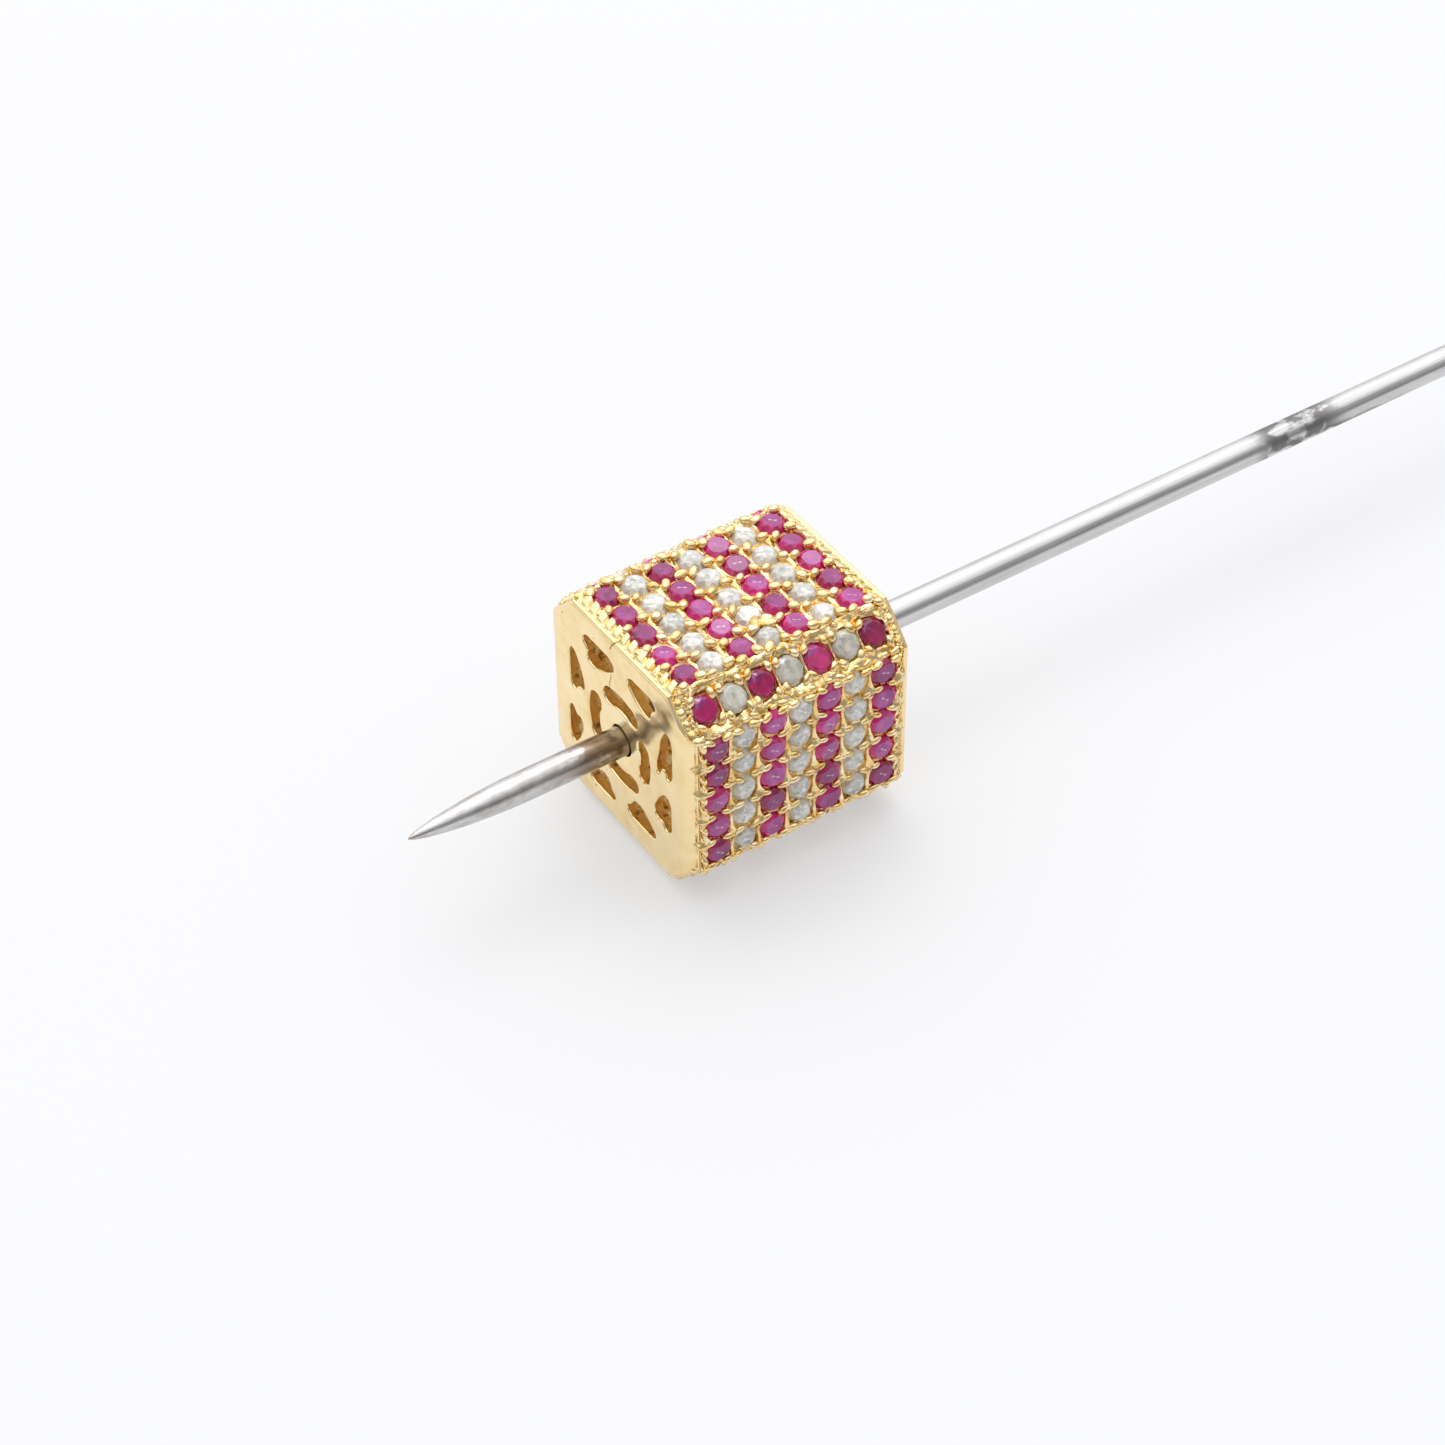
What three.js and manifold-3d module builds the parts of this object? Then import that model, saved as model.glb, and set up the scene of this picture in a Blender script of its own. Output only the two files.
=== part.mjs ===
// A hat pin: a pointed steel stem carrying a cube-shaped gold bead set with stones.
// Units are millimetres and +Z is up. +X runs along the stem, from its point to its head.
// The origin lies under the middle of the pin's length, on the surface that the bead rests on.
import * as THREE from "three";
import { mergeVertices } from "three/addons/utils/BufferGeometryUtils.js";
import Module from "manifold-3d";

const wasm = await Module();
wasm.setup();

// ---- Driving dimensions ----

// Steel stem. Its head is upset from the same wire and has a flat end.
const PIN_LENGTH = 70;
const STEM_RADIUS = 0.65;
const POINT_LENGTH = 5.6;
const HEAD_RADIUS = 1.2;
const HEAD_RIM = 0.5;
const HEAD_CROWN = 0.2;
const HEAD_NECK = 0.7;
const BEAD_FROM_POINT = 15.37;

// Rows of stones. A ring goes once round the bead: five stones on each face, one on each edge.
const RING_COUNT = 7;
const RING_PITCH = 1.35;
const COLUMN_COUNT = 5;
const COLUMN_PITCH = 1.407;
const FACE_TABLE_LEVEL = 5.324;
const EDGE_TABLE_LEVEL = 6.266;

// One stone, cut with eight sides.
const STONE_SIDES = 8;
const STONE_WIDTH = 1.15;
const TABLE_WIDTH = 0.72;
const CROWN_HEIGHT = 0.22;
const PAVILION_DEPTH = 0.54;
const SETTING_GAP = 0.03;
const STRIP_WIDTH = 0.24;
const STRIP_THICKNESS = 0.08;

// Bead metal. A level is a distance from the bead's axis.
const METAL_BELOW_TABLE = 0.104;
const GRAIN_TOP = 5.4;
const GRAIN_WIDTH = 0.3;
const GRAIN_HEIGHT = 0.35;
const EDGE_GRAIN_OFFSET = 0.86;
const EDGE_GRAIN_PROUD = 0.04;
const PAVE_HALF_LENGTH = 4.8;
const BAND_LEVEL = 5.1;
const BAND_LENGTH = 0.28;
const BEAD_HALF_LENGTH = 5.35;
const CAVITY_LEVEL = 4.15;
const CAVITY_EDGE_LEVEL = 5.1;

// Pierced end plates, alike at both ends. The front one is a stepped lid.
const PLATE_THICKNESS = 0.52;
const PLATE_LEVEL = 5.03;
const PLATE_EDGE_LEVEL = 5.93;
const LIP_BEVEL = 0.08;
const REBATE_LEVEL = 4.6;
const REBATE_EDGE_LEVEL = 5.5;
const LID_GAP = 0.03;
const HOLE_RADIUS = 0.76;
const ARCH_RADIUS = 2.05;
const ARCH_WIDTH = 0.75;
const ARCH_HALF_ANGLE = 0.46;
const PETAL_BASE = 2.2;
const PETAL_HEIGHT = 1.2;
const PETAL_ALONG = 1.6;
const PETAL_OUT = 3.45;

// Slit spring sleeve between the end plates. It grips the stem.
const SLEEVE_BORE_RADIUS = 0.68;
const SLEEVE_RADIUS = 0.95;
const SLEEVE_SLIT = 0.26;
const SLEEVE_END_GAP = 0.04;

// Smoothness of the round pieces.
const STEM_SIDES = 20;
const POINT_STEPS = 8;
const ARC_STEPS = 3;

// ---- Finishes ----

const steel = () => new THREE.MeshStandardMaterial({ color: 0xb9b8b6, metalness: 1, roughness: 0.28 });
const springSteel = () => new THREE.MeshStandardMaterial({ color: 0x8d8a84, metalness: 1, roughness: 0.4 });
const gold = () => new THREE.MeshStandardMaterial({ color: 0xe3b34c, metalness: 1, roughness: 0.25 });
const ruby = () => new THREE.MeshStandardMaterial({ color: 0x9c0d4f, metalness: 0, roughness: 0.08 });
const diamond = () => new THREE.MeshStandardMaterial({ color: 0xd3d3cb, metalness: 0, roughness: 0.05 });

// ---- Solids ----

// A closed geometry as a solid that can be joined and cut.
function solidOf(geometry) {
  const bare = geometry.clone();
  bare.deleteAttribute("normal");
  bare.deleteAttribute("uv");
  const merged = mergeVertices(bare, 1e-4);
  return new wasm.Manifold(
    new wasm.Mesh({
      numProp: 3,
      vertProperties: new Float32Array(merged.attributes.position.array),
      triVerts: new Uint32Array(merged.index.array),
    }),
  );
}

// A solid as a geometry with a normal for each flat facet.
function geometryOf(solid) {
  const mesh = solid.getMesh();
  const indexed = new THREE.BufferGeometry();
  indexed.setAttribute("position", new THREE.BufferAttribute(mesh.vertProperties, mesh.numProp));
  indexed.setIndex(new THREE.BufferAttribute(mesh.triVerts, 1));
  const faceted = indexed.toNonIndexed();
  faceted.computeVertexNormals();
  return faceted;
}

const joined = (solids) => solids.reduce((all, next) => all.add(next));

// Turns that carry a drawing's x, y and extrusion onto the bead's axes.
const DRAWN_ACROSS_STEM = new THREE.Matrix4().makeBasis(
  new THREE.Vector3(0, 1, 0),
  new THREE.Vector3(0, 0, 1),
  new THREE.Vector3(1, 0, 0),
);
const DRAWN_ALONG_STEM = new THREE.Matrix4().makeBasis(
  new THREE.Vector3(1, 0, 0),
  new THREE.Vector3(0, 0, 1),
  new THREE.Vector3(0, -1, 0),
);

// A shape drawn in the bead's Y and Z, as a solid from one X to another.
function slab(shape, fromX, toX, bevel = 0) {
  const geometry = new THREE.ExtrudeGeometry(shape, {
    depth: toX - fromX - 2 * bevel,
    curveSegments: ARC_STEPS,
    bevelEnabled: bevel > 0,
    bevelThickness: bevel,
    bevelSize: bevel,
    bevelOffset: -bevel,
    bevelSegments: 2,
  });
  geometry.applyMatrix4(DRAWN_ACROSS_STEM);
  geometry.translate(fromX + bevel, 0, 0);
  return solidOf(geometry);
}

// A square with cut corners: half its width, and the distance from its centre to a cut corner.
function cutSquare(level, edgeLevel) {
  const corner = edgeLevel * Math.SQRT2 - level;
  const shape = new THREE.Shape();
  shape.moveTo(level, -corner);
  shape.lineTo(level, corner);
  shape.lineTo(corner, level);
  shape.lineTo(-corner, level);
  shape.lineTo(-level, corner);
  shape.lineTo(-level, -corner);
  shape.lineTo(-corner, -level);
  shape.lineTo(corner, -level);
  return shape;
}

// ---- Stones ----

// A stone standing on the Z axis, culet down, with its table at a level.
function stoneSolid(level) {
  const acrossCorners = 1 / Math.cos(Math.PI / STONE_SIDES);
  const profile = [
    new THREE.Vector2(0, -CROWN_HEIGHT - PAVILION_DEPTH),
    new THREE.Vector2((STONE_WIDTH / 2) * acrossCorners, -CROWN_HEIGHT),
    new THREE.Vector2((TABLE_WIDTH / 2) * acrossCorners, 0),
    new THREE.Vector2(0, 0),
  ];
  const geometry = new THREE.LatheGeometry(profile, STONE_SIDES, Math.PI / STONE_SIDES);
  geometry.rotateX(Math.PI / 2);
  geometry.translate(0, 0, level);
  return solidOf(geometry);
}

const columnPlace = (column) => (column - (COLUMN_COUNT - 1) / 2) * COLUMN_PITCH;
const ringPlace = (ring) => (ring - (RING_COUNT - 1) / 2) * RING_PITCH;

// The five stones of one ring on one face, joined by a thin strip at their girdles.
function stoneRow() {
  const stones = [];
  for (let column = 0; column < COLUMN_COUNT; column += 1) {
    stones.push(stoneSolid(FACE_TABLE_LEVEL).translate([0, columnPlace(column), 0]));
  }
  const strip = new THREE.BoxGeometry(STRIP_WIDTH, (COLUMN_COUNT - 1) * COLUMN_PITCH, STRIP_THICKNESS);
  strip.translate(0, 0, FACE_TABLE_LEVEL - CROWN_HEIGHT);
  return joined([...stones, solidOf(strip)]);
}

// ---- Bead metal ----

// A V-bottomed groove under a line of stones whose outer centres are a span apart.
function seat(level, span) {
  const halfWidth = STONE_WIDTH / 2 + SETTING_GAP;
  const girdle = level - CROWN_HEIGHT - SETTING_GAP;
  const open = level + CROWN_HEIGHT;
  const shape = new THREE.Shape();
  shape.moveTo(0, girdle - PAVILION_DEPTH);
  shape.lineTo(halfWidth, girdle);
  shape.lineTo(halfWidth, open);
  shape.lineTo(-halfWidth, open);
  shape.lineTo(-halfWidth, girdle);
  const length = span + 2 * halfWidth;
  const geometry = new THREE.ExtrudeGeometry(shape, { depth: length, bevelEnabled: false });
  geometry.applyMatrix4(DRAWN_ALONG_STEM);
  geometry.translate(0, length / 2, 0);
  return solidOf(geometry);
}

// A post of metal between stones. The seats beside it cut it to the width of the wall it stands on.
function grain(top) {
  const geometry = new THREE.BoxGeometry(GRAIN_WIDTH, GRAIN_WIDTH, GRAIN_HEIGHT);
  geometry.translate(0, 0, top - GRAIN_HEIGHT / 2);
  return solidOf(geometry);
}

// The grains of one face and of the cut edge beside it, one line between each two rings.
function faceGrains() {
  const faceGrain = grain(GRAIN_TOP);
  const edgeGrain = grain(EDGE_TABLE_LEVEL + EDGE_GRAIN_PROUD);
  const grains = [];
  for (let line = 0; line <= RING_COUNT; line += 1) {
    const along = ringPlace(line) - RING_PITCH / 2;
    for (let column = 1; column < COLUMN_COUNT; column += 1) {
      grains.push(faceGrain.translate([along, columnPlace(column) - COLUMN_PITCH / 2, 0]));
    }
    for (const side of [-1, 1]) {
      grains.push(edgeGrain.translate([along, side * EDGE_GRAIN_OFFSET, 0]).rotate([45, 0, 0]));
    }
  }
  return joined(grains);
}

// Every groove and seat of one face and of the cut edge beside it.
function faceSeats() {
  const groove = seat(FACE_TABLE_LEVEL, (COLUMN_COUNT - 1) * COLUMN_PITCH);
  const edgeSeat = seat(EDGE_TABLE_LEVEL, 0).rotate([45, 0, 0]);
  const seats = [];
  for (let ring = 0; ring < RING_COUNT; ring += 1) {
    seats.push(groove.translate([ringPlace(ring), 0, 0]));
    seats.push(edgeSeat.translate([ringPlace(ring), 0, 0]));
  }
  return joined(seats);
}

const aroundBead = (solid) => joined([0, 90, 180, 270].map((turn) => solid.rotate([turn, 0, 0])));

// A slot bent round the stem's hole.
function archShape() {
  const inner = ARCH_RADIUS - ARCH_WIDTH / 2;
  const outer = ARCH_RADIUS + ARCH_WIDTH / 2;
  const middle = Math.PI / 2;
  const from = middle - ARCH_HALF_ANGLE;
  const to = middle + ARCH_HALF_ANGLE;
  const end = (angle) => [ARCH_RADIUS * Math.cos(angle), ARCH_RADIUS * Math.sin(angle)];
  const shape = new THREE.Shape();
  shape.absarc(0, 0, outer, from, to, false);
  shape.absarc(...end(to), ARCH_WIDTH / 2, to, to + Math.PI, false);
  shape.absarc(0, 0, inner, to, from, true);
  shape.absarc(...end(from), ARCH_WIDTH / 2, from + Math.PI, from + 2 * Math.PI, false);
  return shape;
}

// A three-cornered petal with round corners. Its base faces the plate's rim.
function petalShape(along) {
  const halfBase = PETAL_BASE / 2;
  const halfHeight = PETAL_HEIGHT / 2;
  const shape = new THREE.Shape();
  const at = (x, y) => [along + x * halfBase, PETAL_OUT + y * halfHeight];
  shape.moveTo(...at(-0.7, 1));
  shape.quadraticCurveTo(...at(-1.15, 1), ...at(-0.85, 0.3));
  shape.lineTo(...at(-0.3, -0.75));
  shape.quadraticCurveTo(...at(0, -1.25), ...at(0.3, -0.75));
  shape.lineTo(...at(0.85, 0.3));
  shape.quadraticCurveTo(...at(1.15, 1), ...at(0.7, 1));
  return shape;
}

// Everything that is pierced through an end plate.
function piercing(fromX, toX) {
  const quarter = joined([
    slab(archShape(), fromX, toX),
    slab(petalShape(-PETAL_ALONG), fromX, toX),
    slab(petalShape(PETAL_ALONG), fromX, toX),
  ]);
  const hole = new THREE.CylinderGeometry(HOLE_RADIUS, HOLE_RADIUS, toX - fromX, STEM_SIDES);
  hole.rotateZ(Math.PI / 2);
  hole.translate((fromX + toX) / 2, 0, 0);
  return aroundBead(quarter).add(solidOf(hole));
}

// The bead: a cast shell, open in front, with its back plate in one piece.
function beadBody() {
  const faceLevel = FACE_TABLE_LEVEL - METAL_BELOW_TABLE;
  const edgeLevel = EDGE_TABLE_LEVEL - METAL_BELOW_TABLE;
  const bandDrop = faceLevel - BAND_LEVEL;
  const bandEnd = PAVE_HALF_LENGTH + BAND_LENGTH;
  const cavityEnd = BEAD_HALF_LENGTH - PLATE_THICKNESS;
  const pave = slab(cutSquare(faceLevel, edgeLevel), -PAVE_HALF_LENGTH, PAVE_HALF_LENGTH);
  const band = slab(cutSquare(BAND_LEVEL, edgeLevel - bandDrop), -bandEnd, bandEnd);
  const backRim = slab(
    cutSquare(PLATE_LEVEL, PLATE_EDGE_LEVEL),
    PAVE_HALF_LENGTH,
    BEAD_HALF_LENGTH,
    LIP_BEVEL,
  );
  const cavity = slab(cutSquare(CAVITY_LEVEL, CAVITY_EDGE_LEVEL), -BEAD_HALF_LENGTH, cavityEnd);
  const rebate = slab(cutSquare(REBATE_LEVEL, REBATE_EDGE_LEVEL), -BEAD_HALF_LENGTH, -cavityEnd);
  return joined([pave, band, backRim])
    .add(aroundBead(faceGrains()))
    .subtract(cavity)
    .subtract(rebate)
    .subtract(aroundBead(faceSeats()))
    .subtract(piercing(CAVITY_LEVEL, BEAD_HALF_LENGTH + PLATE_THICKNESS));
}

// The lid that closes the front of the bead. Its step sits in the body's rebate.
function frontPlate() {
  const seam = -(PAVE_HALF_LENGTH + BAND_LENGTH) - LID_GAP;
  const inside = PLATE_THICKNESS - BEAD_HALF_LENGTH - LID_GAP;
  const rim = slab(cutSquare(PLATE_LEVEL, PLATE_EDGE_LEVEL), -BEAD_HALF_LENGTH, seam, LIP_BEVEL);
  const step = slab(
    cutSquare(REBATE_LEVEL - LID_GAP, REBATE_EDGE_LEVEL - LID_GAP),
    seam - LIP_BEVEL,
    inside,
  );
  return rim.add(step).subtract(piercing(-BEAD_HALF_LENGTH - PLATE_THICKNESS, -CAVITY_LEVEL));
}

// ---- Stem and sleeve ----

// The stem, from its point to the flat end of its head.
function stemGeometry() {
  const profile = [new THREE.Vector2(0, 0)];
  for (let step = 1; step <= POINT_STEPS; step += 1) {
    const share = (step / POINT_STEPS) ** 2;
    const radius = STEM_RADIUS * Math.sin((Math.PI / 2) * share) ** 0.6;
    profile.push(new THREE.Vector2(radius, POINT_LENGTH * share));
  }
  const headFoot = PIN_LENGTH - HEAD_CROWN - HEAD_RIM;
  profile.push(new THREE.Vector2(STEM_RADIUS, headFoot - HEAD_NECK));
  profile.push(new THREE.Vector2(HEAD_RADIUS, headFoot));
  profile.push(new THREE.Vector2(HEAD_RADIUS, PIN_LENGTH - HEAD_CROWN));
  profile.push(new THREE.Vector2(HEAD_RADIUS - HEAD_CROWN, PIN_LENGTH));
  profile.push(new THREE.Vector2(0, PIN_LENGTH));
  const geometry = new THREE.LatheGeometry(profile, STEM_SIDES);
  geometry.rotateZ(-Math.PI / 2);
  return geometryOf(solidOf(geometry));
}

// The sleeve, a tube with one slit along it.
function sleeveGeometry() {
  const length = 2 * (BEAD_HALF_LENGTH - PLATE_THICKNESS - SLEEVE_END_GAP);
  const outerSlit = Math.asin(SLEEVE_SLIT / 2 / SLEEVE_RADIUS);
  const boreSlit = Math.asin(SLEEVE_SLIT / 2 / SLEEVE_BORE_RADIUS);
  const shape = new THREE.Shape();
  shape.absarc(0, 0, SLEEVE_RADIUS, outerSlit, 2 * Math.PI - outerSlit, false);
  shape.absarc(0, 0, SLEEVE_BORE_RADIUS, 2 * Math.PI - boreSlit, boreSlit, true);
  const geometry = new THREE.ExtrudeGeometry(shape, {
    depth: length,
    curveSegments: STEM_SIDES,
    bevelEnabled: false,
  });
  geometry.applyMatrix4(DRAWN_ACROSS_STEM);
  geometry.translate(-length / 2, 0, 0);
  return geometryOf(solidOf(geometry));
}

// ---- Assembly ----

function namedMesh(name, geometry, material) {
  const mesh = new THREE.Mesh(geometry, material);
  mesh.name = name;
  return mesh;
}

const hatPin = new THREE.Group();

const stem = namedMesh("pin_stem", stemGeometry(), steel());
stem.position.set(-PIN_LENGTH / 2, 0, GRAIN_TOP);
hatPin.add(stem);

const bead = new THREE.Group();
bead.position.set(BEAD_FROM_POINT - PIN_LENGTH / 2, 0, GRAIN_TOP);
hatPin.add(bead);
bead.add(namedMesh("friction_sleeve", sleeveGeometry(), springSteel()));
bead.add(namedMesh("bead_body", geometryOf(beadBody()), gold()));
bead.add(namedMesh("front_plate", geometryOf(frontPlate()), gold()));

// The bead's faces in the order of a turn about +X, each with the edge that follows it.
const FACES = [
  { face: "top", edge: "top_near" },
  { face: "near", edge: "near_bottom" },
  { face: "bottom", edge: "bottom_far" },
  { face: "far", edge: "far_top" },
];

const rowGeometry = geometryOf(stoneRow());
const edgeStoneGeometry = geometryOf(stoneSolid(EDGE_TABLE_LEVEL).rotate([45, 0, 0]));

FACES.forEach(({ face, edge }, quarter) => {
  const side = new THREE.Group();
  side.rotation.x = (quarter * Math.PI) / 2;
  bead.add(side);
  for (let ring = 0; ring < RING_COUNT; ring += 1) {
    const isRuby = ring % 2 === 0;
    const kind = isRuby ? "ruby" : "diamond";
    const finish = isRuby ? ruby : diamond;
    const row = namedMesh(`${kind}_row_${ring + 1}_${face}`, rowGeometry, finish());
    const single = namedMesh(`${kind}_edge_${ring + 1}_${edge}`, edgeStoneGeometry, finish());
    row.position.x = ringPlace(ring);
    single.position.x = ringPlace(ring);
    side.add(row, single);
  }
});

export default hatPin;
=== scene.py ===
"""A hat pin: a pointed steel stem, and a cube-shaped gold bead with rubies and diamonds that slides on it."""

import math
import random

import bmesh
import bpy
from mathutils import Matrix, Vector, noise


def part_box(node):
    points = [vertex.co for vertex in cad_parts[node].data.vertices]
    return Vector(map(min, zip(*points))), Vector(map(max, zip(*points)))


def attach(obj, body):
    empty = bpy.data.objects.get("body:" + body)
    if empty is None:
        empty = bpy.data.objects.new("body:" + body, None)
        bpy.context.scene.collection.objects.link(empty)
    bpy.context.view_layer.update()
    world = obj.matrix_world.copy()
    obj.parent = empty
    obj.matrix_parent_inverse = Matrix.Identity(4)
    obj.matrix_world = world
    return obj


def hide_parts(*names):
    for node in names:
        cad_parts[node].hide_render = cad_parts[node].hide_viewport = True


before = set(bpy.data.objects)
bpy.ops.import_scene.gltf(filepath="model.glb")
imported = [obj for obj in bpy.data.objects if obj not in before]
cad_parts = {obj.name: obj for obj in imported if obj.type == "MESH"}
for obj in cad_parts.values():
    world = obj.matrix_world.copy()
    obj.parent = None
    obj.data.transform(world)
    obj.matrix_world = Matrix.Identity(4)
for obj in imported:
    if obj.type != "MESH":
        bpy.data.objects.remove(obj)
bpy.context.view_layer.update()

# ---- Sizes, in millimetres from the bead's centre unless a comment says otherwise ----

MM = 0.001
RINGS = 7
COLUMNS = 5
RING_PITCH = 1.35
COLUMN_PITCH = 1.407

# Levels are distances out from the bead's axis.
FACE_TABLE = 5.29
EDGE_TABLE = 6.266
GRAIN_TOP = 5.395

STONE_RADIUS = 0.655
PAVILION_DEPTH = 0.45

HALF_LENGTH = 5.35
PAVE_HALF_LENGTH = 4.8

SHELL_HALF_LENGTH = 5.02
SHELL_LEVEL = 5.0
CAVITY_LEVEL = 4.28
SHELL_EDGE_RATIO = 1.18

WALL_FOOT = 4.9
GRAIN_LEVEL = 5.2
BRIDGE_HALF_LENGTH = 0.75
BRIDGE_LEVEL = 6.06
STRIP_LEVEL = 6.15
STRIP_OFFSET = 0.88
STRIP_HALF_WIDTH = 0.3
END_LUMP_PLACE = 4.98
END_LUMP_LEVEL = 5.93

RIB_PITCH = 0.57
RIB_DEPTH = 0.28
RIB_MIDDLE = 4.9
RIB_END = 5.12
RIB_EDGE_RISE = 0.98

PLATE_LEVEL = 4.95
PLATE_EDGE_LEVEL = 5.98
PLATE_THICKNESS = 0.5
PLATE_BEVEL = 0.09
PLATE_ROUNDING = 0.25
HOLE_RADIUS = 0.71

STEM_RADIUS = 0.65
POINT_LENGTH = 5.6
HEAD_RADIUS = 1.2
HEAD_NECK = 0.7
HEAD_RIM = 0.5
HEAD_CROWN = 0.2

FACES = ("top", "near", "bottom", "far")
EDGES = ("top_near", "near_bottom", "bottom_far", "far_top")

# Faces whose stones are held by broad round grains. The others have pointed teeth.
BEADED_FACES = ("top", "bottom")

plate_low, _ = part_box("front_plate")
body_low, body_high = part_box("bead_body")
BEAD = (Vector((plate_low[0], body_low[1], body_low[2])) + Vector(body_high)) / 2
stem_low, stem_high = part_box("pin_stem")


def ring_place(ring):
    return (ring - (RINGS - 1) / 2) * RING_PITCH


def line_place(line):
    """The boundary before a ring. Line 0 is before the first ring and line 7 after the last."""
    return ring_place(line) - RING_PITCH / 2


def column_place(column):
    return (column - (COLUMNS - 1) / 2) * COLUMN_PITCH


def clamped(number):
    return min(max(number, 0.0), 1.0)


# ---- Finishes ----


class Value:
    """A number that varies over a surface. Arithmetic on it adds Math nodes."""

    def __init__(self, finish, socket):
        self.finish = finish
        self.socket = socket

    def math(self, operation, *others):
        return self.finish.value("ShaderNodeMath", {"operation": operation}, self, *others)

    def __add__(self, other):
        return self.math("ADD", other)

    __radd__ = __add__

    def __mul__(self, other):
        return self.math("MULTIPLY", other)

    __rmul__ = __mul__

    def __sub__(self, other):
        return self.math("SUBTRACT", other)

    def __rsub__(self, other):
        return self.finish.value("ShaderNodeMath", {"operation": "SUBTRACT"}, other, self)

    def __pow__(self, other):
        return self.math("POWER", other)

    def between(self, low, high):
        """0 at low and 1 at high, with a soft turn at each."""
        settings = {"interpolation_type": "SMOOTHSTEP"}
        return self.finish.value("ShaderNodeMapRange", settings, self, low, high, 0.0, 1.0)


class Finish:
    """A material with one Principled shader. Constants are set on the shader's own sockets."""

    def __init__(self, name, **constants):
        self.material = bpy.data.materials.new(name)
        self.material.use_nodes = True
        self.nodes = self.material.node_tree.nodes
        self.links = self.material.node_tree.links
        self.shader = self.nodes["Principled BSDF"]
        for socket, constant in constants.items():
            self.shader.inputs[socket.replace("_", " ")].default_value = constant
        place = self.node("ShaderNodeTexCoord").outputs["Object"]
        mapping = self.node("ShaderNodeMapping", {"vector_type": "POINT"}, place)
        mapping.inputs["Location"].default_value = tuple(-c / MM for c in BEAD)
        mapping.inputs["Scale"].default_value = (1 / MM,) * 3
        self.place = mapping.outputs["Vector"]

    def node(self, kind, settings=None, *inputs, **named):
        """A node with its settings, then the values or links of its sockets."""
        node = self.nodes.new(kind)
        for key, setting in (settings or {}).items():
            if key == "stops":
                ramp = node.color_ramp
                while len(ramp.elements) < len(setting):
                    ramp.elements.new(0.5)
                for element, (at, colour) in zip(ramp.elements, setting):
                    element.position = at
                    element.color = (*colour, 1.0)
            else:
                setattr(node, key, setting)
        pairs = [*enumerate(inputs), *((name.replace("_", " "), given) for name, given in named.items())]
        for socket, given in pairs:
            self.put(node.inputs[socket], given)
        return node

    def put(self, socket, given):
        if isinstance(given, Value):
            given = given.socket
        if isinstance(given, bpy.types.NodeSocket):
            self.links.new(given, socket)
        elif given is not None:
            socket.default_value = given

    def value(self, kind, settings=None, *inputs, output=0, **named):
        return Value(self, self.node(kind, settings, *inputs, **named).outputs[output])

    def noise(self, scale, detail=2.0, place=None, roughness=0.5):
        """Soft random patches, scale of them to a millimetre."""
        return self.value(
            "ShaderNodeTexNoise", None, place or self.place, Scale=scale, Detail=detail, Roughness=roughness
        )

    def stretched(self, scale):
        """The place with each axis stretched or squeezed."""
        node = self.node("ShaderNodeMapping", {"vector_type": "POINT"}, self.place)
        node.inputs["Scale"].default_value = scale
        return node.outputs["Vector"]

    def axes(self, place=None):
        split = self.node("ShaderNodeSeparateXYZ", None, place or self.place)
        return tuple(Value(self, split.outputs[i]) for i in range(3))

    def blend(self, amount, first, second):
        """A colour between two."""
        node = self.node("ShaderNodeMix", {"data_type": "RGBA"})
        self.put(node.inputs[0], amount)
        for socket, colour in ((node.inputs[6], first), (node.inputs[7], second)):
            self.put(socket, (*colour, 1.0) if isinstance(colour, tuple) else colour)
        return node.outputs[2]

    def ramp(self, amount, *stops):
        return self.node("ShaderNodeValToRGB", {"stops": stops}, amount).outputs["Color"]

    def look(self, colour=None, roughness=None, relief=None, depth=0.02):
        """Links what varies to the shader. depth is the relief's height in millimetres."""
        self.put(self.shader.inputs["Base Color"], colour)
        self.put(self.shader.inputs["Roughness"], roughness)
        if relief is not None:
            bump = self.node("ShaderNodeBump", None, Strength=1.0, Distance=depth * MM, Height=relief)
            self.links.new(bump.outputs["Normal"], self.shader.inputs["Normal"])
        return self


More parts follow.
